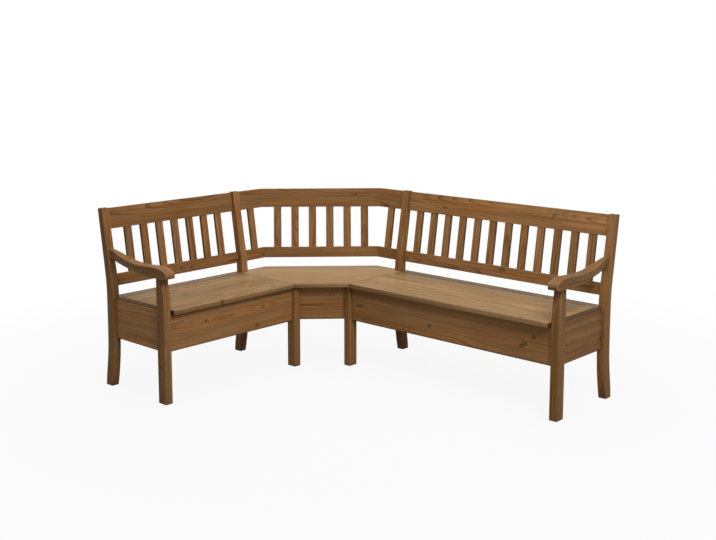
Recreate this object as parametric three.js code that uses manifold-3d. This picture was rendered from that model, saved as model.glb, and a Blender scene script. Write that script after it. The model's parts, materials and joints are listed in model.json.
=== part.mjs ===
// A corner bench of solid pine: a short bench and a long bench, each with a storage chest under
// a hinged lid, joined by a corner seat with a diagonal front and a backrest in three runs.
// Millimetres, +Z up. The long bench runs along +X and the short bench along -Y.

import * as THREE from 'three';
import { mergeVertices } from 'three/addons/utils/BufferGeometryUtils.js';
import Module from 'manifold-3d';

const wasm = await Module();
wasm.setup();

// Plan: the corner opening lies between one bench's front and the other's corner frame
const longSeatLength = 1282;
const shortSeatLength = 836;
const frameDepth = 475;
const frameThickness = 43;
const cornerOpening = 170;
const wingLength = 168;

// Heights above the floor
const seatHeight = 470;
const panelUnderside = 258;

// Heights above the seat
const kneeRise = 68;
const lowerRailRise = 112;
const armRise = 162;
const postRise = 456;
const topRailDrop = 6;

// Clearances and eased edges
const fit = 0.3;
const lidCornerGap = 3;
const lidArmGap = 5;
const ease = 1.6;
const overrun = 20;

// Rear posts: upright to the knee, then leaning back, with a foot that kicks back
const recline = THREE.MathUtils.degToRad(8.6);
const postSeatDepth = 50;
const postArmDepth = 41;
const postTopDepth = 37;
const postFootDepth = 48;
const footKick = 28;
const footRise = 80;
const footDraw = 2;
const ankleRise = 130;
const backKickDrop = 238;
const frontKickDrop = 278;
const postTopRadius = 9;
const backBend = 60;
const frontBend = 115;

// Front legs and arm posts
const legDepth = 57;
const armPostSetback = 15;
const armPostNeckLength = 127;

// Chest panels
const panelThickness = 20;
const endPanelThickness = 24;
const frontPanelRecess = 15;
const rearPanelRecess = 16;
const bottomThickness = 12;
const bottomLift = 14;
const grooveDepth = 8;

// Lids, ledges and the corner seat board
const lidThickness = 23;
const lidOverhang = 18;
const ledgeOverhang = 15;
const boardThickness = 21;
const boardEndOverhang = 10;
const battenWidth = 48;
const battenThickness = 18;
const battenInset = 30;
const shortLidBattens = 2;
const longLidBattens = 3;

// Piano hinge between each ledge and its lid
const hingeSetback = 65;
const barrelRadius = 2.5;
const pinRadius = 1.2;
const pinClearance = 0.15;
const leafThickness = 1;
const leafHeight = 18;
const leafEndInset = 5;
const knuckleLength = 58;
const knuckleGap = 0.4;
const barrelSides = 8;

// Backrest rails and slats
const railThickness = 22;
const railInset = 1;
const topRailHeight = 108;
const lowerRailHeight = 61;
const slatWidth = 44;
const slatThickness = 16;
const slatTenon = 10;
const longSlatMargin = 85;
const shortSlatMargin = 115;
const cornerSlatMargin = 82;
const longSlatCount = 12;
const shortSlatCount = 7;
const cornerSlatCount = 6;

// Corner seat: diagonal apron and the rails under the back of the board
const apronRecess = 16;
const apronThickness = 20;
const apronUnderside = 258;
const seatRailHeight = 58;
const seatRailThickness = 20;

// Armrests
const armNoseOverhang = 44;
const armOuterOverhang = 15;
const armRearWidth = 30;
const armThickness = 52;
const armRearRise = 35;
const armRearThickness = 42;
const armFlareLength = 340;
const armNoseRadius = 10;

// Colours and surface values
const brownPine = { color: 0x7d5630, roughness: 0.55, metalness: 0 };
const tanPine = { color: 0xa07c52, roughness: 0.5, metalness: 0 };
const darkBronze = { color: 0x4a3a26, roughness: 0.4, metalness: 0.85 };

// Levels and places that follow from the sizes above
const kneeHeight = seatHeight + kneeRise;
const lowerRailTop = seatHeight + lowerRailRise;
const armUnderside = seatHeight + armRise;
const postHeight = seatHeight + postRise;
const topRailTop = postHeight - topRailDrop;
const armPostNeckBase = armUnderside - armPostNeckLength;
const reclineSlope = Math.tan(recline);
const lidUnderside = seatHeight - lidThickness;
const boardUnderside = seatHeight - boardThickness;
const bottomHeight = panelUnderside + bottomLift;
const cornerInner = frameDepth + cornerOpening;
const cornerReach = cornerInner + frameThickness;
const foldReach = cornerInner - wingLength;
const lidFront = frameDepth + lidOverhang;
const hingeGap = barrelRadius + fit;
const ledgeFront = hingeSetback - hingeGap;
const ledgeRear = rearPanelRecess - ledgeOverhang;
const lidBack = hingeSetback + hingeGap;
const foldTurn = Math.PI / 8;
const quarterTurn = Math.PI / 2;

function backLineAt(height) {
    return reclineSlope * (height - kneeHeight);
}

function alongRecline(height) {
    return (height - kneeHeight) / Math.cos(recline);
}

// Solids: three.js geometry to a closed solid and back
function solidOf(geometry) {
    const bare = new THREE.BufferGeometry();
    bare.setAttribute('position', geometry.getAttribute('position').clone());
    if (geometry.index) bare.setIndex(geometry.index.clone());
    const merged = mergeVertices(bare);
    return new wasm.Manifold(new wasm.Mesh({
        numProp: 3,
        vertProperties: new Float32Array(merged.getAttribute('position').array),
        triVerts: new Uint32Array(merged.index.array),
    }));
}

function geometryOf(solid) {
    const mesh = solid.getMesh();
    const geometry = new THREE.BufferGeometry();
    geometry.setAttribute('position', new THREE.BufferAttribute(mesh.vertProperties, mesh.numProp));
    geometry.setIndex(new THREE.BufferAttribute(mesh.triVerts, 1));
    geometry.computeVertexNormals();
    return geometry;
}

function cut(geometry, tools) {
    const start = solidOf(geometry);
    return geometryOf(tools.reduce((rest, tool) => rest.subtract(solidOf(tool)), start));
}

function fuse(geometries) {
    const [first, ...others] = geometries.map(solidOf);
    return geometryOf(others.reduce((whole, other) => whole.add(other), first));
}

function common(geometry, tool) {
    return geometryOf(solidOf(geometry).intersect(solidOf(tool)));
}

// A closed outline in a plane, extruded, with its edges eased and its outer size kept
function extrudeEased(shape, thickness, easing) {
    return new THREE.ExtrudeGeometry(shape, {
        depth: thickness - 2 * easing,
        bevelEnabled: easing > 0,
        bevelThickness: easing,
        bevelSize: easing,
        bevelOffset: -easing,
        bevelSegments: 1,
        curveSegments: 5,
    }).translate(0, 0, easing);
}

// A board between two corners, every edge eased by a small flat
function board(x0, y0, z0, x1, y1, z1, easing = ease) {
    const width = Math.abs(x1 - x0);
    const depth = Math.abs(y1 - y0);
    const shape = new THREE.Shape([
        new THREE.Vector2(easing, 0),
        new THREE.Vector2(width - easing, 0),
        new THREE.Vector2(width, easing),
        new THREE.Vector2(width, depth - easing),
        new THREE.Vector2(width - easing, depth),
        new THREE.Vector2(easing, depth),
        new THREE.Vector2(0, depth - easing),
        new THREE.Vector2(0, easing),
    ]);
    return extrudeEased(shape, z1 - z0, easing).translate(Math.min(x0, x1), Math.min(y0, y1), z0);
}

function block(x0, y0, z0, x1, y1, z1) {
    return new THREE.BoxGeometry(Math.abs(x1 - x0), Math.abs(y1 - y0), z1 - z0)
        .translate((x0 + x1) / 2, (y0 + y1) / 2, (z0 + z1) / 2);
}

// An outline in the plane of depth and height, extruded sideways about its middle
function sideways(shape, thickness, easing) {
    const turn = new THREE.Matrix4().makeBasis(
        new THREE.Vector3(0, 1, 0),
        new THREE.Vector3(0, 0, 1),
        new THREE.Vector3(1, 0, 0),
    );
    return extrudeEased(shape, thickness, easing).translate(0, 0, -thickness / 2).applyMatrix4(turn);
}

// A plan outline, extruded upwards
function upright(points, bottom, top, easing) {
    const shape = new THREE.Shape(points.map(([x, y]) => new THREE.Vector2(x, y)));
    return extrudeEased(shape, top - bottom, easing).translate(0, 0, bottom);
}

function addPiece(parent, name, geometry, finish) {
    const mesh = new THREE.Mesh(geometry, new THREE.MeshStandardMaterial(finish));
    mesh.name = name;
    parent.add(mesh);
    return mesh;
}

// Rear post, drawn with its back line at zero depth below the knee
function rearPostShape() {
    const backKick = kneeHeight - backKickDrop;
    const frontKick = kneeHeight - frontKickDrop;
    const bendTop = kneeHeight + backBend;
    const frontBendTop = kneeHeight + frontBend;
    const roundStart = postHeight - postTopRadius;
    const topBack = backLineAt(postHeight);
    const shape = new THREE.Shape();
    shape.moveTo(footKick - postFootDepth, 0);
    shape.lineTo(footKick, 0);
    shape.bezierCurveTo(footKick - footDraw, footRise, 0, ankleRise, 0, backKick);
    shape.lineTo(0, kneeHeight - backBend);
    shape.quadraticCurveTo(0, kneeHeight, backLineAt(bendTop), bendTop);
    shape.lineTo(backLineAt(roundStart), roundStart);
    shape.quadraticCurveTo(topBack, postHeight, topBack - postTopRadius, postHeight);
    shape.lineTo(topBack - postTopDepth, postHeight);
    shape.lineTo(backLineAt(frontBendTop) - postArmDepth, frontBendTop);
    shape.quadraticCurveTo(-postSeatDepth, kneeHeight, -postSeatDepth, kneeHeight - frontBend);
    shape.lineTo(-postSeatDepth, frontKick);
    shape.quadraticCurveTo(-postSeatDepth, frontKick / 2, footKick - postFootDepth, 0);
    return shape;
}

function rearPost(side, name, middle) {
    const post = addPiece(side.group, name, sideways(rearPostShape(), frameThickness, ease), brownPine);
    post.position.x = side.hand * middle;
}

// Arm post: a front leg that runs on above the seat and draws back at its neck
function armPostShape() {
    const top = armUnderside - fit;
    const back = legDepth - frameDepth;
    const shape = new THREE.Shape();
    shape.moveTo(-frameDepth, 0);
    shape.lineTo(back, 0);
    shape.lineTo(back, top);
    shape.lineTo(armPostSetback - frameDepth, top);
    shape.bezierCurveTo(
        armPostSetback - frameDepth, (top + armPostNeckBase) / 2,
        -frameDepth, (top + armPostNeckBase) / 2,
        -frameDepth, armPostNeckBase,
    );
    return shape;
}

// Armrest: a sweep that rises to the rear post and rolls over at the nose
const armTopShares = { rise: 0.12, fall: 0.36, dip: 0.55, climb: 0.66, crest: 0.74, roll: 0.84 };
const armUndersideShares = { flat: 0.72, bend: 0.63 };
const armLevelShares = { dip: 0.88, tip: 0.42 };

function armrestShape(armRear) {
    const nose = -(frameDepth + armNoseOverhang);
    const length = armRear - nose;
    const at = (share) => armRear - share * length;
    const rearTop = armUnderside + armThickness + armRearRise;
    const rearBottom = rearTop - armRearThickness;
    const crest = armUnderside + armThickness;
    const dip = armUnderside + armLevelShares.dip * armThickness;
    const tip = armUnderside + armLevelShares.tip * armThickness;
    const underNose = nose + tip - armUnderside;
    const { rise, fall, climb, roll } = armTopShares;
    const shape = new THREE.Shape();
    shape.moveTo(armRear, rearBottom);
    shape.lineTo(armRear, rearTop);
    shape.bezierCurveTo(at(rise), rearTop, at(fall), dip, at(armTopShares.dip), dip);
    shape.bezierCurveTo(at(climb), dip, at(armTopShares.crest), crest, at(roll), crest);
    shape.bezierCurveTo((at(roll) + nose) / 2, crest, nose, (crest + tip) / 2, nose, tip);
    shape.quadraticCurveTo(nose, armUnderside, underNose, armUnderside);
    shape.lineTo(at(armUndersideShares.flat), armUnderside);
    shape.quadraticCurveTo(at(armUndersideShares.bend), armUnderside, armRear, rearBottom);
    return shape;
}

// Plan of the armrest: straight inside, flared outside, with rounded nose corners
function armrestPlan(side, inner, armRear) {
    const nose = -(frameDepth + armNoseOverhang);
    const wide = inner + frameThickness + armOuterOverhang;
    const narrow = inner + armRearWidth;
    const place = (u, y) => [side.hand * u, y];
    const shape = new THREE.Shape();
    shape.moveTo(...place(inner, armRear));
    shape.lineTo(...place(inner, nose + armNoseRadius));
    shape.quadraticCurveTo(...place(inner, nose), ...place(inner + armNoseRadius, nose));
    shape.lineTo(...place(wide - armNoseRadius, nose));
    shape.quadraticCurveTo(...place(wide, nose), ...place(wide, nose + armNoseRadius));
    shape.lineTo(...place(wide, -armFlareLength));
    shape.quadraticCurveTo(...place(wide, -armFlareLength / 2), ...place(narrow, -postSeatDepth));
    shape.lineTo(...place(narrow, armRear));
    const height = armUnderside + armThickness + armRearRise;
    return extrudeEased(shape, height, 0);
}

function armrest(side, inner) {
    const armRear = backLineAt(armUnderside);
    const span = 2 * (frameThickness + armOuterOverhang);
    const middle = side.hand * (inner + frameThickness / 2);
    const blank = sideways(armrestShape(armRear), span, 0).translate(middle, 0, 0);
    const swept = common(blank, armrestPlan(side, inner, armRear));
    const seat = sideways(rearPostShape(), frameThickness + overrun, 0).translate(middle, -fit, 0);
    addPiece(side.group, `${side.name}_armrest`, cut(swept, [seat]), brownPine);
}

// End frames: the arm frame closes a bench outside and the corner frame joins it to the corner
function armFrame(side) {
    const inner = side.armInner;
    const middle = inner + frameThickness / 2;
    rearPost(side, `${side.name}_rear_post`, middle);
    const armPost = sideways(armPostShape(), frameThickness, ease);
    addPiece(side.group, `${side.name}_arm_post`, armPost, brownPine).position.x = side.hand * middle;
    armrest(side, inner);
    const panel = board(
        side.hand * inner, legDepth - frameDepth + fit, panelUnderside,
        side.hand * (inner + endPanelThickness), -postSeatDepth - fit, seatHeight,
    );
    addPiece(side.group, `${side.name}_end_panel`, panel, brownPine);
}

function cornerFrame(side) {
    const middle = cornerReach - frameThickness / 2;
    rearPost(side, `${side.name}_corner_rear_post`, middle);
    const leg = board(
        side.hand * cornerInner, -frameDepth, 0,
        side.hand * cornerReach, legDepth - frameDepth, boardUnderside - fit,
    );
    addPiece(side.group, `${side.name}_corner_leg`, leg, brownPine);
    const panel = board(
        side.hand * (cornerReach - endPanelThickness), legDepth - frameDepth + fit, panelUnderside,
        side.hand * cornerReach, -postSeatDepth - fit, boardUnderside - fit,
    );
    addPiece(side.group, `${side.name}_corner_panel`, panel, brownPine);
}

// Chest: front and rear panels with a groove each that carries the bottom
function chest(side) {
    const start = side.hand * (cornerReach + fit);
    const end = side.hand * (side.armInner - fit);
    const top = lidUnderside - fit;
    const frontFace = frontPanelRecess - frameDepth;
    const frontInside = frontFace + panelThickness;
    const rearInside = -(rearPanelRecess + panelThickness);
    const bottomFront = frontInside - grooveDepth;
    const bottomRear = rearInside + grooveDepth;
    const bottomTop = bottomHeight + bottomThickness;
    const groove = block(
        start - overrun * side.hand, bottomFront - fit, bottomHeight - fit,
        end + overrun * side.hand, bottomRear + fit, bottomTop + fit,
    );
    const front = board(start, frontFace, panelUnderside, end, frontInside, top);
    const rear = board(start, rearInside, panelUnderside, end, -rearPanelRecess, top);
    const bottom = board(start, bottomFront, bottomHeight, end, bottomRear, bottomTop);
    addPiece(side.group, `${side.name}_front_panel`, cut(front, [groove]), brownPine);
    addPiece(side.group, `${side.name}_rear_panel`, cut(rear, [groove]), brownPine);
    addPiece(side.group, `${side.name}_chest_bottom`, bottom, tanPine);
}

// Lid with battens across its underside, and the fixed ledge behind it
function lidAndLedge(side) {
    const top = board(
        side.hand * side.lidStart, -lidFront, lidUnderside,
        side.hand * side.lidEnd, -lidBack, seatHeight,
    );
    const spacing = (side.lidEnd - side.lidStart) / side.battens;
    const battenFront = frontPanelRecess + panelThickness + battenInset / 2 - frameDepth;
    const battens = Array.from({ length: side.battens }, (_, i) => {
        const middle = side.lidStart + (i + 1 / 2) * spacing;
        return block(
            side.hand * (middle - battenWidth / 2), battenFront, lidUnderside - battenThickness,
            side.hand * (middle + battenWidth / 2), -lidBack - battenInset, lidUnderside + ease,
        );
    });
    addPiece(side.group, `${side.name}_lid`, fuse([top, ...battens]), tanPine);
    const ledge = board(
        side.hand * (cornerReach + fit), -ledgeFront, lidUnderside,
        side.hand * (side.armInner - fit), -ledgeRear, seatHeight,
    );
    addPiece(side.group, `${side.name}_ledge`, ledge, tanPine);
}

// Piano hinge: two leaves with alternate knuckles on one pin
function barrelRod(radius, from, to) {
    return new THREE.CylinderGeometry(radius, radius, to - from, barrelSides)
        .rotateZ(quarterTurn)
        .translate((from + to) / 2, -hingeSetback, seatHeight);
}

function hinge(side) {
    const start = side.lidStart + leafEndInset;
    const end = side.lidEnd - leafEndInset;
    const pairs = Math.max(1, Math.round((end - start) / (2 * knuckleLength)));
    const count = 2 * pairs + 1;
    const pitch = (end - start) / count;
    const span = (from, to) => (side.hand > 0 ? [from, to] : [-to, -from]);
    const rod = (radius, from, to) => barrelRod(radius, ...span(from, to));
    const bore = rod(pinRadius + pinClearance, start - overrun, end + overrun);
    const leaf = (parity, inward) => {
        const near = -hingeSetback + inward * (barrelRadius - leafThickness);
        const far = -hingeSetback + inward * barrelRadius;
        const low = seatHeight - leafHeight;
        const pieces = [block(side.hand * start, near, low, side.hand * end, far, seatHeight)];
        const reliefs = [];
        for (let i = 0; i < count; i += 1) {
            const from = start + i * pitch;
            const to = from + pitch;
            const own = i % 2 === parity;
            if (own) pieces.push(rod(barrelRadius, from + knuckleGap / 2, to - knuckleGap / 2));
            else reliefs.push(rod(barrelRadius + fit, from - knuckleGap / 2, to + knuckleGap / 2));
        }
        const plate = cut(pieces[0], reliefs);
        return cut(fuse([plate, ...pieces.slice(1)]), [bore]);
    };
    addPiece(side.group, `${side.name}_hinge_fixed_leaf`, leaf(0, 1), darkBronze);
    addPiece(side.group, `${side.name}_hinge_lid_leaf`, leaf(1, -1), darkBronze);
    addPiece(side.group, `${side.name}_hinge_pin`, rod(pinRadius, start, end), darkBronze);
}

// Backrests stand in a frame that leans with the posts: x along, y to the back, z up the lean
function leaningGroup(parent) {
    const group = new THREE.Group();
    group.position.z = kneeHeight;
    group.rotation.x = -recline;
    parent.add(group);
    return group;
}

const railBack = -railInset;
const railFront = -railInset - railThickness;
const slatFront = -railInset - (railThickness + slatThickness) / 2;
const slatBack = slatFront + slatThickness;
const topRailLow = alongRecline(topRailTop) - topRailHeight;
const lowerRailHigh = alongRecline(lowerRailTop);

function topRail(from, to) {
    return board(from, railFront, topRailLow, to, railBack, alongRecline(topRailTop));
}

function lowerRail(from, to) {
    return board(from, railFront, lowerRailHigh - lowerRailHeight, to, railBack, lowerRailHigh);
}

function slat(middle) {
    return board(
        middle - slatWidth / 2, slatFront, lowerRailHigh - slatTenon,
        middle + slatWidth / 2, slatBack, topRailLow + slatTenon,
    );
}

function mortise(middle) {
    return block(
        middle - slatWidth / 2 - fit, slatFront - fit, lowerRailHigh - slatTenon - fit,
        middle + slatWidth / 2 + fit, slatBack + fit, topRailLow + slatTenon + fit,
    );
}

function slatPlaces(from, to, margin, count) {
    const pitch = (to - from - 2 * margin) / (count - 1);
    return Array.from({ length: count }, (_, i) => from + margin + i * pitch);
}

function benchBackrest(side) {
    const group = leaningGroup(side.group);
    const start = side.hand * (cornerReach + fit);
    const end = side.hand * (side.armInner - fit);
    const places = slatPlaces(cornerReach, side.armInner, side.slatMargin, side.slats)
        .map((place) => side.hand * place);
    const mortises = places.map(mortise);
    addPiece(group, `${side.name}_top_rail`, cut(topRail(start, end), mortises), brownPine);
    if (side.slatsInRack) {
        const rack = fuse([lowerRail(start, end), ...places.map(slat)]);
        addPiece(group, `${side.name}_slat_rack`, rack, brownPine);
        return;
    }
    addPiece(group, `${side.name}_lower_rail`, cut(lowerRail(start, end), mortises), brownPine);
    places.forEach((place, i) => addPiece(group, `${side.name}_slat_${i + 1}`, slat(place), brownPine));
}

// Corner backrest: each run ends at an upright mitre plane through the fold
function foldAt(depth) {
    return foldReach - depth * Math.tan(foldTurn);
}

function wingPlan(side, gap) {
    const far = cornerInner - fit;
    const behind = backLineAt(postHeight) + overrun;
    const ahead = -(postSeatDepth + overrun);
    return [
        [side.hand * (foldAt(behind) + gap), behind],
        [side.hand * far, behind],
        [side.hand * far, ahead],
        [side.hand * (foldAt(ahead) + gap), ahead],
    ];
}

const foldMiddle = foldReach / 2;
const centreHalf = foldReach * Math.SQRT1_2;

function centrePlan(gap) {
    const behind = backLineAt(postHeight) + overrun;
    const ahead = -(postSeatDepth + overrun);
    const half = (depth) => centreHalf + depth * Math.tan(foldTurn) - gap;
    return [
        [-half(behind), behind],
        [half(behind), behind],
        [half(ahead), ahead],
        [-half(ahead), ahead],
    ];
}

function mitred(geometry, plan) {
    const prism = upright(plan, 0, postHeight + overrun, 0)
        .translate(0, 0, -kneeHeight)
        .rotateX(recline);
    return common(geometry, prism);
}

const mitreGap = fit / 2 / Math.cos(foldTurn);

function wingBackrest(side) {
    const group = leaningGroup(side.group);
    const plan = wingPlan(side, mitreGap);
    const from = side.hand * (foldAt(postHeight) - overrun);
    const to = side.hand * (cornerInner + overrun);
    const slatMiddle = (foldAt(backLineAt((lowerRailTop + topRailTop) / 2)) + cornerInner) / 2;
    const tools = [mortise(side.hand * slatMiddle)];
    const top = cut(mitred(topRail(from, to), plan), tools);
    const low = cut(mitred(lowerRail(from, to), plan), tools);
    addPiece(group, `${side.name}_wing_top_rail`, top, brownPine);
    addPiece(group, `${side.name}_wing_lower_rail`, low, brownPine);
    addPiece(group, `${side.name}_wing_slat`, slat(side.hand * slatMiddle), brownPine);
}

function cornerBackrest(corner) {
    const group = leaningGroup(corner);
    const plan = centrePlan(mitreGap);
    const reach = foldReach;
    const places = slatPlaces(-centreHalf, centreHalf, cornerSlatMargin, cornerSlatCount);
    const mortises = places.map(mortise);
    const top = cut(mitred(topRail(-reach, reach), plan), mortises);
    const low = cut(mitred(lowerRail(-reach, reach), plan), mortises);
    addPiece(group, 'corner_top_rail', top, brownPine);
    addPiece(group, 'corner_lower_rail', low, brownPine);
    places.forEach((place, i) => addPiece(group, `corner_slat_${i + 1}`, slat(place), brownPine));
}

// Rails under the back edge of the corner seat board
function seatRail(from, to, plan) {
    const top = boardUnderside - fit;
    const front = -(rearPanelRecess + seatRailThickness);
    return common(
        board(from, front, top - seatRailHeight, to, -rearPanelRecess, top),
        upright(plan, 0, seatHeight, 0),
    );
}

// Apron across the diagonal between the two corner legs
function cornerApron(corner) {
    const face = (setback) => Math.SQRT2 * (cornerInner - fit) - centreHalf - setback;
    const front = Math.SQRT1_2 * (frameDepth - apronRecess + cornerInner - foldReach);
    const back = front - apronThickness;
    const plan = [
        [-face(front), -front],
        [face(front), -front],
        [face(back), -back],
        [-face(back), -back],
    ];
    addPiece(corner, 'corner_apron', upright(plan, apronUnderside, boardUnderside - fit, ease), brownPine);
}

// Corner seat board: one half of its outline, then the same half across the diagonal
function cornerSeatBoard(bench) {
    const end = cornerReach + boardEndOverhang;
    const half = [
        [end, -lidFront],
        [end, -ledgeFront - fit],
        [cornerReach, -ledgeFront - fit],
        [cornerReach, -postSeatDepth - fit],
        [cornerInner - fit, -postSeatDepth - fit],
        [cornerInner - fit, -rearPanelRecess],
        [foldAt(-rearPanelRecess), -rearPanelRecess],
    ];
    const otherHalf = half.map(([x, y]) => [-y, -x]).reverse();
    const outline = upright([...half, ...otherHalf], boardUnderside, seatHeight, ease);
    addPiece(bench, 'corner_seat_board', outline, tanPine);
}

function makeSide(bench, values) {
    const side = { ...values, group: new THREE.Group() };
    side.group.rotation.z = side.turn;
    side.armInner = cornerReach + side.length;
    side.lidStart = cornerReach + boardEndOverhang + lidCornerGap;
    side.lidEnd = side.armInner - lidArmGap;
    bench.add(side.group);
    armFrame(side);
    cornerFrame(side);
    chest(side);
    lidAndLedge(side);
    hinge(side);
    benchBackrest(side);
    wingBackrest(side);
    const plan = wingPlan(side, mitreGap);
    const rail = seatRail(side.hand * (foldMiddle), side.hand * cornerReach, plan);
    addPiece(side.group, `${side.name}_wing_seat_rail`, rail, brownPine);
}

function makeCorner(bench) {
    const corner = new THREE.Group();
    corner.position.set(foldMiddle, -foldMiddle, 0);
    corner.rotation.z = Math.PI / 4;
    bench.add(corner);
    cornerBackrest(corner);
    cornerApron(corner);
    const rail = seatRail(-foldReach, foldReach, centrePlan(mitreGap));
    addPiece(corner, 'corner_seat_rail', rail, brownPine);
}

function cornerBench() {
    const bench = new THREE.Group();
    makeSide(bench, {
        name: 'right', hand: 1, turn: 0, length: longSeatLength,
        slats: longSlatCount, slatMargin: longSlatMargin, battens: longLidBattens, slatsInRack: true,
    });
    makeSide(bench, {
        name: 'left', hand: -1, turn: quarterTurn, length: shortSeatLength,
        slats: shortSlatCount, slatMargin: shortSlatMargin, battens: shortLidBattens, slatsInRack: false,
    });
    makeCorner(bench);
    cornerSeatBoard(bench);
    const extent = new THREE.Box3().setFromObject(bench);
    const centre = extent.getCenter(new THREE.Vector3());
    bench.position.set(-centre.x, -centre.y, -extent.min.z);
    bench.updateMatrixWorld(true);
    return bench;
}

const group = cornerBench();
export default group;
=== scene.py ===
"""Looks for the corner storage bench: stained pine boards, bronzed hinges, studio and camera."""

import json
import math
import random

import bmesh
import bpy
from mathutils import Matrix, Vector


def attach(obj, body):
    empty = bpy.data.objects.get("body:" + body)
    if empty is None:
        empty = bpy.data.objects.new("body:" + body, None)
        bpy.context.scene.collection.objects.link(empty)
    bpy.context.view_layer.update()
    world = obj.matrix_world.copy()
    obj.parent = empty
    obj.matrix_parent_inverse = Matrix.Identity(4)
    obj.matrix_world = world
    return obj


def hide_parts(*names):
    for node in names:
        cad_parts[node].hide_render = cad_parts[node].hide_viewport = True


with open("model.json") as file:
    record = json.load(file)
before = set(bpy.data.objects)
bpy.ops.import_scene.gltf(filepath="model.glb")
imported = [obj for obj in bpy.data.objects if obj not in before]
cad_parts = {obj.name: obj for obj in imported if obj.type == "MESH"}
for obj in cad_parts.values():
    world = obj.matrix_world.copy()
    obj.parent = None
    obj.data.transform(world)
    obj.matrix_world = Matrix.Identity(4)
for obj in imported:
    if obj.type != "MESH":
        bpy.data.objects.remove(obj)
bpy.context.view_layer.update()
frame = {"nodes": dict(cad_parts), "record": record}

# Camera, as it stood for the photograph: metres, degrees and pixels
CAMERA_PLACE = (3.5880, -3.8740, 1.7207)
CAMERA_YAW = 42.580
CAMERA_PITCH = 7.947
CAMERA_ROLL = 0.024
QUARTER_TURN = 90
PICTURE_WIDTH = 716
PICTURE_HEIGHT = 540
FOCAL_PIXELS = 1065.0
HORIZONTAL_CENTRE = 358
VERTICAL_CENTRE = 200
SENSOR_WIDTH = 36

# Studio: strength of the sky at the horizon and overhead
LOW_SKY = 0.11
HIGH_SKY = 0.46
WHITE = (1, 1, 1, 1)

# Lamps: place, point that they look at, side of their square and power in watts
LAMPS = {
    "key": ((2.95, -1.30, 3.4), (0, 0, 0.3), 1.6, 122),
    "top": ((-0.6, 0.6, 3.4), (0, 0, 0.2), 2.4, 66),
}

# Floor: half its side, its greys, and where it fades to white round the middle
FLOOR_HALF = 12
FLOOR_DARK = (0.33, 0.33, 0.33, 1)
FLOOR_PALE = (0.37, 0.37, 0.37, 1)
FLOOR_ROUGHNESS = 0.9
NEAR_WHITE = 0.92
FADE_START = 1.2
FADE_END = 3.2

# The backrests lean by this angle, and each run of boards turns by its own
RECLINE = math.radians(8.6)
RUN_TURNS = {"right": 0, "left": 90, "corner": 45}

# Mesh values: lengths in metres, angles in radians
MERGE_DISTANCE = 0.00001
FLAT_ANGLE = math.radians(0.3)
SMOOTH_ANGLE = math.radians(50)
FACING_ALIKE = 0.99
EASED_WIDTH = 0.003
LID_THICKNESS = 0.023
RACK_CUT_RISE = 0.0003
ARM_ROUND = 0.004
ARM_ROUND_STEPS = 4
ARM_EDGE_ANGLE = math.radians(38)
ROUND_PROFILE = 0.5

# Stain colours, linear: early wood, late wood, orange streaks, knots and worn edges; the knot colour also
# darkens glue lines, end grain, slat sides and the painted shade in joints
STAINS = {
    "frame_pine": (
        (0.267, 0.140, 0.055, 1),
        (0.116, 0.051, 0.018, 1),
        (0.275, 0.119, 0.036, 1),
        (0.050, 0.020, 0.007, 1),
        (0.340, 0.190, 0.080, 1),
    ),
    # The seat's stain is paler and less saturated than the frame's, partly its own stain and partly a
    # painted sheen from light on its top faces
    "seat_pine": (
        (0.300, 0.192, 0.090, 1),
        (0.148, 0.083, 0.034, 1),
        (0.296, 0.159, 0.064, 1),
        (0.080, 0.034, 0.012, 1),
        (0.370, 0.228, 0.105, 1),
    ),
}

# Knots the photograph shows: along the board and across it from its middle, then half sizes, in metres
KNOTS = {
    "right_lid": [
        (-0.535, -0.086, 0.011, 0.009),
        (-0.506, -0.042, 0.010, 0.008),
        (-0.057, -0.072, 0.012, 0.008),
        (0.217, -0.144, 0.012, 0.007),
        (-0.188, -0.198, 0.013, 0.008),
        (0.470, -0.196, 0.016, 0.009),
    ],
    "left_lid": [(-0.102, -0.206, 0.014, 0.013), (0.250, 0.090, 0.008, 0.006)],
    "corner_seat_board": [(-0.210, 0.020, 0.009, 0.006)],
    "right_front_panel": [
        (0.468, -0.028, 0.015, 0.010),
        (0.487, -0.014, 0.017, 0.011),
        (0.536, 0.027, 0.016, 0.010),
        (-0.096, -0.030, 0.014, 0.008),
        (-0.582, -0.005, 0.024, 0.006),
    ],
    "left_front_panel": [(0.154, -0.067, 0.016, 0.009), (-0.190, 0.020, 0.012, 0.007)],
    "right_slat_rack_rail": [(0.043, 0.016, 0.026, 0.010)],
    "corner_apron": [(0.046, 0.043, 0.005, 0.006), (0.061, 0.046, 0.003, 0.004)],
    "left_arm_post": [(-0.131, -0.003, 0.006, 0.009)],
    "right_corner_leg": [(0.186, -0.003, 0.010, 0.009)],
    "corner_top_rail": [(0.205, 0.018, 0.010, 0.007)],
    "right_top_rail": [(-0.380, -0.012, 0.011, 0.008), (0.330, 0.020, 0.010, 0.007)],
    "right_rear_panel": [(0.180, 0.030, 0.014, 0.010), (-0.400, -0.040, 0.012, 0.009)],
    "left_rear_panel": [(-0.150, -0.020, 0.013, 0.010)],
}
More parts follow.
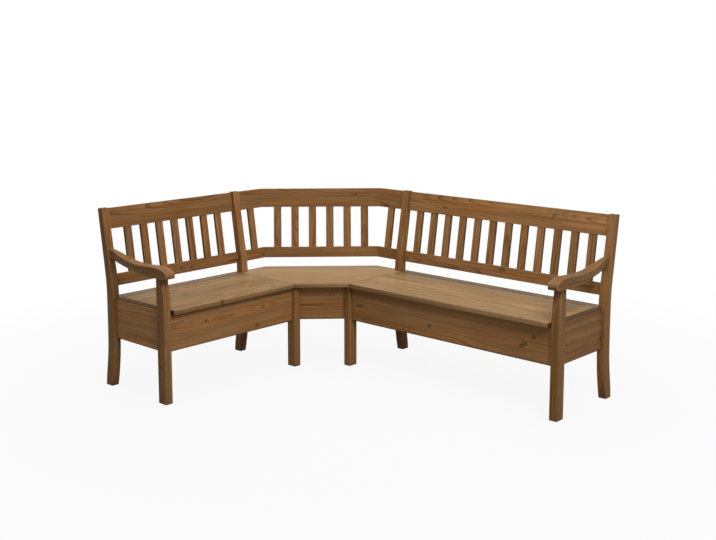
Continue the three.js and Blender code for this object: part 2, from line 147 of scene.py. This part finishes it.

# Brightness of single boards beside the rest, partly their own tone and partly painted light and shade,
# such as the shadow of a lid or an arm; a name without its number stands for the others of its row
TONES_AND_PAINTED_LIGHT = {
    "left_front_panel": 1.29,
    "left_top_rail": 0.74,
    "left_wing_top_rail": 0.82,
    "corner_top_rail": 0.92,
    "right_top_rail": 1.28,
    "right_slat_rack_rail": 1.08,
    "right_slat_rack_slat": 1.08,
    "right_front_panel": 1.18,
    "left_slat": 1.06,
    "left_slat_1": 1.42,
    "left_slat_2": 1.0,
    "left_slat_4": 1.16,
    "left_slat_5": 1.14,
    "left_slat_6": 0.88,
    "left_slat_7": 0.88,
    "corner_slat": 1.03,
    "corner_slat_1": 1.16,
    "corner_slat_2": 1.12,
    "corner_slat_5": 1.34,
    "corner_slat_6": 0.8,
    "left_wing_slat": 1.32,
    "right_wing_slat": 1.27,
    "left_corner_rear_post": 1.12,
    "right_corner_rear_post": 1.12,
    "left_corner_leg": 1.27,
    "right_corner_leg": 0.96,
    "left_rear_post": 0.86,
    "left_arm_post": 0.99,
    "right_arm_post": 0.84,
    "left_armrest": 0.84,
    "right_armrest": 0.84,
    "left_end_panel": 1.48,
    "corner_apron": 1.20,
    "right_ledge": 0.62,
    "left_ledge": 0.85,
    "left_lid": 0.95,
    "corner_seat_board": 1.14,
}
PLAIN_TONE = 1.0
TONE_CHANCE = (0.95, 1.05)

# How boards are cut, lengths in metres: seats and chest bottoms from staves, others as one plank
STAVE_WIDTHS = {"lid": 0.095, "board": 0.115, "bottom": 0.095}
ONE_PLANK = 10
STAVE_APART = 3.7
SEED_RANGE = 40
RING_WIDTH = 0.0054
RAGGED_DEPTH = 0.0016
SWELL_RINGS = 2.2
PITH_DEPTHS = (0.035, 0.085)
PITH_ASIDE = 1.3
PITH_REACH = 0.1
PITH_DRIFT = 0.075
STEM_TAPERS = (0.010, 0.022)
WARM_SHIFT = (7, 3, 5)
OUT_OF_REACH = 1

# Noise: repeats per metre in the three directions, detail and roughness
KNOT_RAGGED = ((90, 130, 60), 2, 0.5)
WANDER = ((1.3, 4, 4), 1, 0.5)
RAGGED = ((7, 110, 110), 3, 0.5)
SWELL = ((0.4, 9, 9), 0, 0.5)
FIBRE = ((16, 950, 950), 2, 0.6)
STREAK = ((1.5, 62, 62), 3, 0.66)
BLOTCH = ((2.6, 8, 8), 2, 0.5)
WARMTH = ((1.4, 26, 26), 2, 0.5)
PATCHES = ((22, 60, 60), 3, 0.5)
BRUSHING = ((14, 14, 2400), 2, 0.5)
BRONZING = ((35, 35, 60), 4, 0.5)
FLOOR_CLOUDS = ((0.9, 0.9, 0.9), 2, 0.5)
NOISE_MIDDLE = (0.5, 0.5, 0.5)
HALF = 0.5

# Lowest and highest brightness that each figure gives, and strength of single rings
FIBRE_LEVELS = (0.8, 1.2)
STREAK_LEVELS = (0.35, 1.65)
BLOTCH_LEVELS = (0.76, 1.24)
STAVE_LEVELS = (0.86, 1.14)
RING_LEVELS = (0.25, 1.0)

# Ramps, each a list of places and levels
KNOT_STOPS = [(0.55, 0.75), (0.86, 1.0), (1.0, 0.0)]
GLUE_STOPS = [(0.3, 0.7), (0.9, 0.0)]
LATE_STOPS = [(0.30, 0.0), (0.62, 0.22), (0.90, 1.0), (1.0, 0.0)]
WARM_STOPS = [(0.42, 0.0), (0.66, 0.9)]
END_STOPS = [(0.5, 0.0), (0.7, 0.72)]
JOINT_SHADE_STOPS = [(0.20, 0.85), (0.70, 0.0)]
EDGE_STOPS = [(0.10, 0.85), (0.38, 0.0)]
WEAR_STOPS = [(0.38, 0.05), (0.66, 0.6)]
BRONZED_STOPS = [(0.35, 0.0), (0.7, 1.0)]
RUBBED_STOPS = [(0.5, 0.0), (0.8, 0.5)]

# Parts of a metre: the glue ramp is set in millimetres, the joint and edge ramps in centimetres
MILLIMETRES = 1000
CENTIMETRES = 100

# A knot's ragged outline, how far its push on the rings reaches and how strong it is, and its stain
KNOT_EDGES = (-0.35, 0.35)
KNOT_FALL = -0.16
KNOT_PUSH = 1.9
KNOT_STAIN = 0.7

# Lacquer: gloss, plain roughness and what is added to it, relief, and the bump's strength and depth
LACQUER_GLOSS = 0.045
PLAIN_ROUGHNESS = 0.36
FIBRE_ROUGHNESS = 0.16
LATE_ROUGHNESS = -0.06
WEAR_ROUGHNESS = 0.10
FIBRE_RELIEF = 0.5
LATE_RELIEF = 0.45
KNOT_RELIEF = -0.4
WOOD_BUMP = (0.35, 0.0008)

# Bronzed steel: colours, range of roughness, metal, and the bump's strength and depth
BRONZE_DARK = (0.095, 0.062, 0.035, 1)
BRONZE_PALE = (0.20, 0.14, 0.085, 1)
BRONZE_RUBBED = (0.34, 0.27, 0.19, 1)
BRONZE_ROUGHNESS = (0.30, 0.55)
BRONZE_METALLIC = 0.9
BRONZE_BUMP = (0.2, 0.0002)

# Where the mix node for colours has its sockets
MIX_FACTOR = 0
MIX_FIRST = 6
MIX_SECOND = 7
MIX_RESULT = 2


class Graph:
    """A node tree, with one short call for each kind of node that the materials use."""

    def __init__(self, tree):
        self.tree = tree

    def add(self, kind, inputs=None, **settings):
        node = self.tree.nodes.new(kind)
        for name, value in settings.items():
            setattr(node, name, value)
        for name, value in (inputs or {}).items():
            self.feed(node.inputs[name], value)
        return node

    def feed(self, socket, value):
        if isinstance(value, bpy.types.NodeSocket):
            self.tree.links.new(value, socket)
        else:
            socket.default_value = value

    def math(self, operation, first, second=0.0, third=0.0):
        inputs = {0: first, 1: second, 2: third}
        return self.add("ShaderNodeMath", inputs, operation=operation).outputs[0]

    def of_three(self, operation, first, second, third):
        return self.math(operation, self.math(operation, first, second), third)

    def vector(self, operation, first, second=(0, 0, 0)):
        node = self.add("ShaderNodeVectorMath", {0: first, 1: second}, operation=operation)
        return node.outputs["Value" if operation == "LENGTH" else "Vector"]

    def split(self, vector):
        return self.add("ShaderNodeSeparateXYZ", {0: vector}).outputs

    def alike(self, value):
        """A vector or grey with the same value three times."""
        return self.add("ShaderNodeCombineXYZ", {0: value, 1: value, 2: value}).outputs[0]

    def chance(self, number):
        """A value from 0 to 1 that is each whole number's own."""
        return self.add("ShaderNodeTexWhiteNoise", {"W": number}, noise_dimensions="1D").outputs["Value"]

    def noise(self, place, figure):
        stretch, detail, roughness = figure
        where = self.vector("MULTIPLY", place, stretch)
        inputs = {"Vector": where, "Scale": 1.0, "Detail": detail, "Roughness": roughness}
        return self.add("ShaderNodeTexNoise", inputs).outputs

    def ramp(self, factor, stops):
        node = self.add("ShaderNodeValToRGB", {"Fac": factor})
        elements = node.color_ramp.elements
        while len(elements) < len(stops):
            elements.new(HALF)
        for element, (position, level) in zip(elements, stops):
            element.position = position
            element.color = (level, level, level, 1)
        return node.outputs["Color"]

    def mix(self, factor, first, second, blend="MIX"):
        node = self.add("ShaderNodeMix", data_type="RGBA", blend_type=blend)
        self.feed(node.inputs[MIX_FACTOR], factor)
        self.feed(node.inputs[MIX_FIRST], first)
        self.feed(node.inputs[MIX_SECOND], second)
        return node.outputs[MIX_RESULT]

    def spread(self, value, low, high):
        """Takes 0 to 1 to low to high."""
        return self.math("MULTIPLY_ADD", value, high - low, low)

    def bump(self, height, strength, distance):
        inputs = {"Height": height, "Strength": strength, "Distance": distance}
        return self.add("ShaderNodeBump", inputs).outputs["Normal"]


def new_group(name, inputs, outputs):
    tree = bpy.data.node_groups.new(name, "ShaderNodeTree")
    for kind, label in inputs:
        tree.interface.new_socket(name=label, in_out="INPUT", socket_type="NodeSocket" + kind)
    for kind, label in outputs:
        tree.interface.new_socket(name=label, in_out="OUTPUT", socket_type="NodeSocket" + kind)
    graph = Graph(tree)
    return graph, graph.add("NodeGroupInput").outputs


def new_material(name):
    material = bpy.data.materials.new(name)
    material.use_nodes = True
    return material, Graph(material.node_tree), material.node_tree.nodes["Principled BSDF"]


def new_object(name, data):
    thing = bpy.data.objects.new(name, data)
    bpy.context.scene.collection.objects.link(thing)
    return thing


def knot_group():
    """One knot: how far it pushes the rings aside, and where its dark wood lies."""
    inputs = [
        ("Vector", "Grain"), ("Vector", "Place"), ("Vector", "Size"), ("Float", "Push"), ("Float", "Mask"),
    ]
    graph, given = new_group("Knot", inputs, [("Float", "Push"), ("Float", "Mask")])
    away = graph.vector("DIVIDE", graph.vector("SUBTRACT", given["Grain"], given["Place"]), given["Size"])
    flat = graph.vector("MULTIPLY", away, (1, 1, 0))
    ragged = graph.noise(given["Grain"], KNOT_RAGGED)["Fac"]
    reach = graph.math("ADD", graph.vector("LENGTH", flat), graph.spread(ragged, *KNOT_EDGES))
    fall = graph.math("EXPONENT", graph.math("MULTIPLY", graph.math("MULTIPLY", reach, reach), KNOT_FALL))
    width = graph.split(given["Size"])["Y"]
    push = graph.math("MULTIPLY_ADD", fall, graph.math("MULTIPLY", width, KNOT_PUSH), given["Push"])
    mask = graph.math("MAXIMUM", graph.ramp(reach, KNOT_STOPS), given["Mask"])
    graph.add("NodeGroupOutput", {"Push": push, "Mask": mask})
    return graph.tree


def staves(graph, given):
    """Place in a stave and in the stem it is cut from, its own chance, and the glue at its edge."""
    step = graph.math("DIVIDE", graph.split(given["Grain"])["Y"], given["Stave Width"])
    stave = graph.math("FLOOR", graph.math("ADD", step, HALF))
    shift = graph.math("MULTIPLY", stave, given["Stave Width"])
    shift = graph.add("ShaderNodeCombineXYZ", {1: shift}).outputs[0]
    plank = graph.vector("SUBTRACT", given["Grain"], shift)
    apart = graph.alike(graph.math("MULTIPLY", stave, STAVE_APART))
    lot = graph.vector("ADD", graph.vector("ADD", plank, apart), given["Seed"])
    chance = graph.chance(graph.math("ADD", stave, graph.split(given["Seed"])["X"]))
    aside = graph.math("ABSOLUTE", graph.math("SUBTRACT", step, stave))
    seam = graph.math("MULTIPLY", graph.math("SUBTRACT", HALF, aside), given["Stave Width"])
    glue = graph.ramp(graph.math("MULTIPLY", seam, MILLIMETRES), GLUE_STOPS)
    return plank, lot, chance, glue


def late_wood(graph, given, plank, lot):
    """Growth rings round a pith that wanders along the board, each ring of its own strength."""
    wander = graph.vector("SUBTRACT", graph.noise(lot, WANDER)["Color"], NOISE_MIDDLE)
    drift = graph.vector("MULTIPLY", wander, (0, PITH_DRIFT, PITH_DRIFT))
    away = graph.vector("ADD", graph.vector("SUBTRACT", plank, given["Pith"]), drift)
    radius = graph.vector("LENGTH", graph.vector("MULTIPLY", away, (0, 1, 1)))
    reach = graph.math("MULTIPLY_ADD", graph.split(given["Grain"])["X"], given["Taper"], radius)
    reach = graph.math("ADD", reach, given["Push"])
    reach = graph.math("MULTIPLY_ADD", graph.noise(lot, RAGGED)["Fac"], RAGGED_DEPTH, reach)
    rings = graph.math("DIVIDE", reach, RING_WIDTH)
    rings = graph.math("MULTIPLY_ADD", graph.noise(lot, SWELL)["Fac"], SWELL_RINGS, rings)
    late = graph.ramp(graph.math("FRACT", rings), LATE_STOPS)
    own = graph.chance(graph.math("FLOOR", rings))
    return graph.math("MULTIPLY", late, graph.spread(own, *RING_LEVELS))


def stained_colour(graph, given, lot, late, fibre, chance):
    """Early and late wood under fibres, streaks and blotches of stain, and orange streaks."""
    warm = graph.noise(graph.vector("ADD", lot, WARM_SHIFT), WARMTH)["Fac"]
    colour = graph.mix(graph.ramp(warm, WARM_STOPS), given["Early"], given["Orange"])
    colour = graph.mix(late, colour, given["Late"])
    level = graph.spread(fibre, *FIBRE_LEVELS)
    level = graph.math("MULTIPLY", level, graph.spread(graph.noise(lot, STREAK)["Fac"], *STREAK_LEVELS))
    level = graph.math("MULTIPLY", level, graph.spread(graph.noise(lot, BLOTCH)["Fac"], *BLOTCH_LEVELS))
    level = graph.math("MULTIPLY", level, graph.spread(chance, *STAVE_LEVELS))
    # The tone holds painted light and shade as well as the board's own tone
    level = graph.math("MULTIPLY", level, given["Tone"])
    return graph.mix(1.0, colour, graph.alike(level), blend="MULTIPLY")


def edge_marks(graph, given, lot, ends):
    """Edges that stand in a joint, darkened by gathered stain and by painted shade, and edges that
    handling has worn.
    """
    inset = graph.vector("SUBTRACT", given["Half Size"], graph.vector("ABSOLUTE", given["Grain"]))
    covered = graph.split(graph.vector("ADD", inset, given["Clear"]))
    covered = graph.math("MINIMUM", covered["X"], covered["Y"])
    # Painted shade, with gathered stain, within a few millimetres of the ends that stand in a joint
    joint = graph.ramp(graph.math("MULTIPLY", covered, CENTIMETRES), JOINT_SHADE_STOPS)
    side = graph.split(inset)
    sides = (side["X"], side["Y"], side["Z"])
    least = graph.of_three("MINIMUM", *sides)
    most = graph.of_three("MAXIMUM", *sides)
    middle = graph.math("SUBTRACT", graph.math("SUBTRACT", graph.of_three("ADD", *sides), least), most)
    near = graph.ramp(graph.math("MULTIPLY", middle, CENTIMETRES), EDGE_STOPS)
    eased = graph.add("ShaderNodeAttribute", attribute_name="eased").outputs["Fac"]
    patchy = graph.ramp(graph.noise(lot, PATCHES)["Fac"], WEAR_STOPS)
    wear = graph.math("MULTIPLY", graph.math("MAXIMUM", near, eased), patchy)
    wear = graph.math("MULTIPLY", wear, graph.math("SUBTRACT", 1.0, graph.math("MAXIMUM", ends, joint)))
    return joint, wear


def pine_group():
    """Sawn pine: rings round a pith, late wood, fibres, blotches of stain, knots, painted shade in the
    joints and worn edges.
    """
    inputs = [
        ("Vector", "Grain"), ("Vector", "Seed"), ("Vector", "Pith"), ("Vector", "Half Size"),
        ("Vector", "Facing"), ("Vector", "Clear"), ("Float", "Stave Width"),
        ("Float", "Taper"), ("Float", "Tone"), ("Float", "Push"), ("Float", "Knot"),
        ("Color", "Early"), ("Color", "Late"), ("Color", "Orange"), ("Color", "Dark"), ("Color", "Worn"),
    ]
    outputs = [("Color", "Color"), ("Float", "Roughness"), ("Float", "Height")]
    graph, given = new_group("Pine", inputs, outputs)
    plank, lot, chance, glue = staves(graph, given)
    late = late_wood(graph, given, plank, lot)
    fibre = graph.noise(lot, FIBRE)["Fac"]

    # End grain drinks more stain, and the sides of slats are made darker
    facing = graph.split(given["Facing"])["X"]
    ends = graph.ramp(graph.math("ABSOLUTE", facing), END_STOPS)
    joint, wear = edge_marks(graph, given, lot, ends)
    colour = stained_colour(graph, given, lot, late, fibre, chance)
    # Knots, glue lines, end grain and slat sides darken the colour, and so does the painted shade in the
    # joints
    for dark in (graph.math("MULTIPLY", given["Knot"], KNOT_STAIN), glue, ends, joint):
        colour = graph.mix(dark, colour, given["Dark"])
    colour = graph.mix(wear, colour, given["Worn"])

    roughness = graph.math("MULTIPLY_ADD", fibre, FIBRE_ROUGHNESS, PLAIN_ROUGHNESS)
    roughness = graph.math("MULTIPLY_ADD", late, LATE_ROUGHNESS, roughness)
    roughness = graph.math("MULTIPLY_ADD", wear, WEAR_ROUGHNESS, roughness)
    height = graph.math("MULTIPLY_ADD", fibre, FIBRE_RELIEF, graph.math("MULTIPLY", late, LATE_RELIEF))
    height = graph.math("MULTIPLY_ADD", given["Knot"], KNOT_RELIEF, height)
    graph.add("NodeGroupOutput", {"Color": colour, "Roughness": roughness, "Height": height})
    return graph.tree


KNOT = knot_group()
PINE = pine_group()


def run_axes(name):
    """Along the boards of a run, towards its back, up, and the last two leaning with the backrest."""
    turn = math.radians(RUN_TURNS[name.split("_")[0]])
    along = Vector((math.cos(turn), math.sin(turn), 0))
    back = Vector((-math.sin(turn), math.cos(turn), 0))
    up = Vector((0, 0, 1))
    lean_up = math.cos(RECLINE) * up + math.sin(RECLINE) * back
    lean_back = math.cos(RECLINE) * back - math.sin(RECLINE) * up
    return along, back, up, lean_up, lean_back


def is_slat(name):
    return name.split("_")[-2] == "slat" or name.endswith("wing_slat")


def board_axes(name):
    """A board's directions: with the grain, across its face, through its thickness."""
    along, back, up, lean_up, lean_back = run_axes(name)
    if is_slat(name):
        return lean_up, along, lean_back
    if name.endswith(("top_rail", "lower_rail", "rack_rail")):
        return along, lean_up, lean_back
    if name.endswith("corner_leg"):
        return up, along, back
    if name.endswith("_post"):
        return up, back, along
    if name.endswith("armrest"):
        return back, along, up
    if name.endswith(("end_panel", "corner_panel")):
        return back, up, along
    if name.endswith(("lid", "ledge", "chest_bottom", "seat_board")):
        return along, back, up
    return along, up, back


def clear_edges(name, curved):
    """Zero along each direction in which a board ends in a joint, and a long way along the others."""
    far = OUT_OF_REACH
    if curved or is_slat(name):
        return (far, far, far)
    if name.endswith(("front_panel", "end_panel", "apron")):
        return (0, 0, far)
    return (0, far, far)


def tone_and_painted_light_of(name):
    return TONES_AND_PAINTED_LIGHT.get(name, TONES_AND_PAINTED_LIGHT.get(name.rstrip("_0123456789"), PLAIN_TONE))


def measured(mesh, turn):
    """Middle and half size of a mesh along a board's own directions."""
    local = [turn @ v.co for v in mesh.vertices]
    low = Vector(min(p[i] for p in local) for i in range(3))
    high = Vector(max(p[i] for p in local) for i in range(3))
    return (low + high) / 2, (high - low) / 2


def add_knots(graph, grain, knots):
    """How far all the knots of a board push its rings, and where they are dark."""
    push, mask = 0.0, 0.0
    for along, across, length, width in knots:
        given = {
            "Grain": grain, "Place": (along, across, 0), "Size": (length, width, 1),
            "Push": push, "Mask": mask,
        }
        node = graph.add("ShaderNodeGroup", node_tree=KNOT)
        for label, value in given.items():
            graph.feed(node.inputs[label], value)
        push, mask = node.outputs["Push"], node.outputs["Mask"]
    return push, mask


def pine(name, axes, mesh, stain, knots=(), curved=False):
    """The material of one board: its own place in a stem, its own tone with painted light and shade, and
    its own knots.
    """
    turn = Matrix(axes)
    if turn.determinant() < 0:
        turn[2] = -turn[2]
    middle, half = measured(mesh, turn)
    if curved:
        half = Vector((half.x + OUT_OF_REACH, half.y + OUT_OF_REACH, half.z))
    material, graph, shader = new_material(name)
    source = graph.add("ShaderNodeTexCoord").outputs
    grain = graph.add("ShaderNodeMapping", {
        "Vector": source["Object"], "Location": -middle, "Rotation": turn.to_euler("XYZ"),
    }).outputs["Vector"]
    ends_and_slat_sides_turn = Matrix((turn[1], -turn[0], turn[2])) if is_slat(name) else turn
    facing = graph.add("ShaderNodeMapping", {
        "Vector": source["Normal"], "Rotation": ends_and_slat_sides_turn.to_euler("XYZ"),
    }).outputs["Vector"]
    push, mask = add_knots(graph, grain, knots)
    early, late, orange, dark, worn = STAINS[stain]
    draw = random.Random(name)
    side = draw.choice((-1, 1))
    stave = STAVE_WIDTHS.get(name.split("_")[-1], ONE_PLANK)
    reach = min(half.y, stave / 2, PITH_REACH)
    values = {
        "Grain": grain,
        "Pith": (0, draw.uniform(-PITH_ASIDE, PITH_ASIDE) * reach, side * draw.uniform(*PITH_DEPTHS)),
        "Seed": tuple(draw.uniform(0, SEED_RANGE) for _ in range(3)),
        "Facing": (0, 0, 0) if curved else facing,
        "Clear": clear_edges(name, curved),
        "Stave Width": stave,
        "Half Size": half,
        "Taper": draw.choice((-1, 1)) * draw.uniform(*STEM_TAPERS),
        "Tone": tone_and_painted_light_of(name) * draw.uniform(*TONE_CHANCE),
        "Push": push, "Knot": mask,
        "Early": early, "Late": late, "Orange": orange, "Dark": dark, "Worn": worn,
    }
    wood = graph.add("ShaderNodeGroup", node_tree=PINE)
    for label, value in values.items():
        graph.feed(wood.inputs[label], value)
    graph.feed(shader.inputs["Base Color"], wood.outputs["Color"])
    graph.feed(shader.inputs["Roughness"], wood.outputs["Roughness"])
    graph.feed(shader.inputs["Normal"], graph.bump(wood.outputs["Height"], *WOOD_BUMP))
    graph.feed(shader.inputs["Specular IOR Level"], LACQUER_GLOSS)
    return material


def copied_mesh(node):
    """A CAD node's mesh, joined up and with its flat faces whole."""
    mesh = bmesh.new()
    mesh.from_mesh(frame["nodes"][node].data)
    bmesh.ops.remove_doubles(mesh, verts=mesh.verts, dist=MERGE_DISTANCE)
    bmesh.ops.dissolve_limit(mesh, angle_limit=FLAT_ANGLE, verts=mesh.verts, edges=mesh.edges)
    return mesh


def mark_eased(mesh):
    """Says which faces are the narrow eased edges."""
    layer = mesh.faces.layers.float.new("eased")
    for face in mesh.faces:
        width = 2 * face.calc_area() / face.calc_perimeter()
        face[layer] = 1.0 if width < EASED_WIDTH else 0.0


def body_of(node):
    bodies = frame["record"]["behaviour"]["bodies"]
    return next(body for body, members in bodies.items() if node in members)


def slot_of(node):
    subparts = frame["record"]["subparts"]
    return next(part["material_slot"] for part in subparts if part["node"] == node)


def make_piece(name, mesh, node, curved=False):
    """A wooden piece from a finished mesh, with its grain, in the place of a CAD node."""
    mark_eased(mesh)
    data = bpy.data.meshes.new(name)
    mesh.to_mesh(data)
    mesh.free()
    data.shade_smooth()
    data.set_sharp_from_angle(angle=SMOOTH_ANGLE)
    piece = new_object(name, data)
    normals = piece.modifiers.new("normals", "WEIGHTED_NORMAL")
    normals.keep_sharp = True
    slot = slot_of(node)
    board = name.removesuffix("_wood")
    axes = board_axes(board)
    data.materials.append(pine(board, axes, data, slot, KNOTS.get(board, ()), curved))
    if node.endswith("lid"):
        dress_battens(data, f"{board}_batten", (axes[1], axes[0], axes[2]), slot)
    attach(piece, body_of(node))
    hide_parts(node)


def dress_battens(data, name, axes, slot):
    """Gives the battens under a lid the grain of boards that lie across it."""
    data.materials.append(pine(name, axes, data, slot, curved=True))
    top = max(v.co.z for v in data.vertices)
    for face in data.polygons:
        if face.center.z < top - LID_THICKNESS - MERGE_DISTANCE:
            face.material_index = 1


def round_arm(mesh):
    """Rounds every edge of an armrest between faces that meet at more than an angle."""
    edges = [e for e in mesh.edges if e.is_manifold and e.calc_face_angle(0) > ARM_EDGE_ANGLE]
    bmesh.ops.bevel(
        mesh, geom=edges, offset=ARM_ROUND, segments=ARM_ROUND_STEPS, profile=ROUND_PROFILE,
        affect="EDGES", offset_type="OFFSET", clamp_overlap=True,
    )


def split_rack(node):
    """The long bench's lower rail and its slats, cut apart at the rail's top edge."""
    lean_up = run_axes(node)[3]
    whole = copied_mesh(node)
    tops = [f for f in whole.faces if f.normal.dot(lean_up) > FACING_ALIKE]
    widest = max(tops, key=lambda f: f.calc_area())
    level = widest.calc_center_median() + RACK_CUT_RISE * lean_up
    parts = []
    for outer in (True, False):
        part = whole.copy()
        everything = part.verts[:] + part.edges[:] + part.faces[:]
        bmesh.ops.bisect_plane(
            part, geom=everything, plane_co=level, plane_no=lean_up, dist=MERGE_DISTANCE,
            clear_outer=outer, clear_inner=not outer,
        )
        bmesh.ops.holes_fill(part, edges=[e for e in part.edges if e.is_boundary])
        parts.append(part)
    whole.free()
    return parts


def loose_parts(mesh):
    """Each connected part of a mesh as its own mesh."""
    seen = set()
    parts = []
    for start in mesh.verts:
        if start in seen:
            continue
        group = {start}
        front = [start]
        while front:
            vert = front.pop()
            for edge in vert.link_edges:
                other = edge.other_vert(vert)
                if other not in group:
                    group.add(other)
                    front.append(other)
        seen |= group
        part = bmesh.new()
        twins = {v: part.verts.new(v.co) for v in mesh.verts if v in group}
        for face in mesh.faces:
            if face.verts[0] in group:
                part.faces.new([twins[v] for v in face.verts])
        parts.append(part)
    return parts


def build_rack(node):
    """The long bench's lower rail and each of its slats as pieces of their own."""
    rail, slats = split_rack(node)
    make_piece(f"{node}_rail", rail, node)
    for number, slat in enumerate(loose_parts(slats), 1):
        make_piece(f"{node}_slat_{number}", slat, node)
    slats.free()


def build_wood():
    for node in sorted(frame["nodes"]):
        if "hinge" in node:
            continue
        if node.endswith("slat_rack"):
            build_rack(node)
            continue
        mesh = copied_mesh(node)
        if node.endswith("armrest"):
            round_arm(mesh)
        make_piece(f"{node}_wood", mesh, node, curved=node.endswith(("_post", "armrest")))


def hinge_metal():
    """Bronzed steel: brushed along the strip, browned in blotches and rubbed bright."""
    material, graph, shader = new_material("bronzed_steel")
    place = graph.add("ShaderNodeTexCoord").outputs["Object"]
    brushed = graph.noise(place, BRUSHING)["Fac"]
    blotch = graph.noise(place, BRONZING)["Fac"]
    colour = graph.mix(graph.ramp(blotch, BRONZED_STOPS), BRONZE_DARK, BRONZE_PALE)
    colour = graph.mix(graph.ramp(brushed, RUBBED_STOPS), colour, BRONZE_RUBBED)
    graph.feed(shader.inputs["Base Color"], colour)
    graph.feed(shader.inputs["Roughness"], graph.spread(blotch, *BRONZE_ROUGHNESS))
    graph.feed(shader.inputs["Metallic"], BRONZE_METALLIC)
    graph.feed(shader.inputs["Normal"], graph.bump(brushed, *BRONZE_BUMP))
    return material


def dress_hinges():
    metal = hinge_metal()
    for node, piece in frame["nodes"].items():
        if "hinge" in node:
            piece.data.materials.clear()
            piece.data.materials.append(metal)


def straight_rays(graph):
    """One for what the camera sees, also by way of metal or glass, and zero for light on things."""
    path = graph.add("ShaderNodeLightPath").outputs
    straight = graph.math("ADD", path["Is Camera Ray"], path["Is Glossy Ray"])
    return graph.math("MINIMUM", graph.math("ADD", straight, path["Is Transmission Ray"]), 1.0)


def floor_material():
    """Pale grey that holds the shadow, lit to near white for the camera and to white further out."""
    material, graph, shader = new_material("pale_floor")
    place = graph.add("ShaderNodeTexCoord").outputs["Object"]
    cloud = graph.noise(place, FLOOR_CLOUDS)["Fac"]
    graph.feed(shader.inputs["Base Color"], graph.mix(cloud, FLOOR_DARK, FLOOR_PALE))
    graph.feed(shader.inputs["Roughness"], FLOOR_ROUGHNESS)
    white = graph.add("ShaderNodeEmission", {"Color": WHITE, "Strength": 1.0}).outputs[0]
    away = graph.vector("LENGTH", graph.vector("MULTIPLY", place, (1, 1, 0)))
    fade = graph.add("ShaderNodeMapRange", {
        "Value": away, "From Min": FADE_START, "From Max": FADE_END, "To Min": NEAR_WHITE, "To Max": 1.0,
    }, interpolation_type="SMOOTHSTEP").outputs["Result"]
    share = graph.math("MULTIPLY", fade, straight_rays(graph))
    mixed = graph.add("ShaderNodeMixShader", {0: share, 1: shader.outputs[0], 2: white})
    graph.feed(material.node_tree.nodes["Material Output"].inputs["Surface"], mixed.outputs[0])
    return material


def build_floor():
    half = FLOOR_HALF
    mesh = bmesh.new()
    corners = [(-half, -half), (half, -half), (half, half), (-half, half)]
    mesh.faces.new([mesh.verts.new((x, y, 0)) for x, y in corners])
    data = bpy.data.meshes.new("floor")
    mesh.to_mesh(data)
    mesh.free()
    data.materials.append(floor_material())
    floor = new_object("floor", data)


def area_light(name, place, target, size, power):
    data = bpy.data.lights.new(name, "AREA")
    data.shape = "SQUARE"
    data.size = size
    data.energy = power
    light = new_object(name, data)
    light.location = place
    light.rotation_euler = (Vector(target) - Vector(place)).to_track_quat("-Z", "Y").to_euler()


def build_studio():
    """A white backdrop for the camera, a soft sky that brightens upwards for the light, and two lamps."""
    world = bpy.data.worlds.new("studio")
    bpy.context.scene.world = world
    world.use_nodes = True
    graph = Graph(world.node_tree)
    seen = graph.add("ShaderNodeBackground", {"Color": WHITE, "Strength": 1.0}).outputs[0]
    soft = world.node_tree.nodes["Background"]
    height = graph.split(graph.add("ShaderNodeTexCoord").outputs["Generated"])["Z"]
    level = graph.add("ShaderNodeMapRange", {
        "Value": height, "From Min": 0.0, "From Max": 1.0, "To Min": LOW_SKY, "To Max": HIGH_SKY,
    }).outputs["Result"]
    graph.feed(soft.inputs["Color"], WHITE)
    graph.feed(soft.inputs["Strength"], level)
    mixed = graph.add("ShaderNodeMixShader", {0: straight_rays(graph), 1: soft.outputs[0], 2: seen})
    graph.feed(world.node_tree.nodes["World Output"].inputs["Surface"], mixed.outputs[0])
    for name, (place, target, size, power) in LAMPS.items():
        area_light(name, place, target, size, power)


def build_camera():
    data = bpy.data.cameras.new("camera")
    data.sensor_fit = "HORIZONTAL"
    data.sensor_width = SENSOR_WIDTH
    data.lens = FOCAL_PIXELS / PICTURE_WIDTH * SENSOR_WIDTH
    data.shift_x = (PICTURE_WIDTH / 2 - HORIZONTAL_CENTRE) / PICTURE_WIDTH
    data.shift_y = (VERTICAL_CENTRE - PICTURE_HEIGHT / 2) / PICTURE_WIDTH
    camera = new_object("camera", data)
    yaw = Matrix.Rotation(math.radians(CAMERA_YAW), 3, "Z")
    pitch = Matrix.Rotation(math.radians(QUARTER_TURN - CAMERA_PITCH), 3, "X")
    roll = Matrix.Rotation(math.radians(CAMERA_ROLL), 3, "Z")
    camera.rotation_euler = (yaw @ pitch @ roll).to_euler()
    camera.location = CAMERA_PLACE
    bpy.context.scene.camera = camera


build_camera()
build_studio()
build_floor()
build_wood()
dress_hinges()
bpy.context.scene.view_settings.view_transform = "Standard"
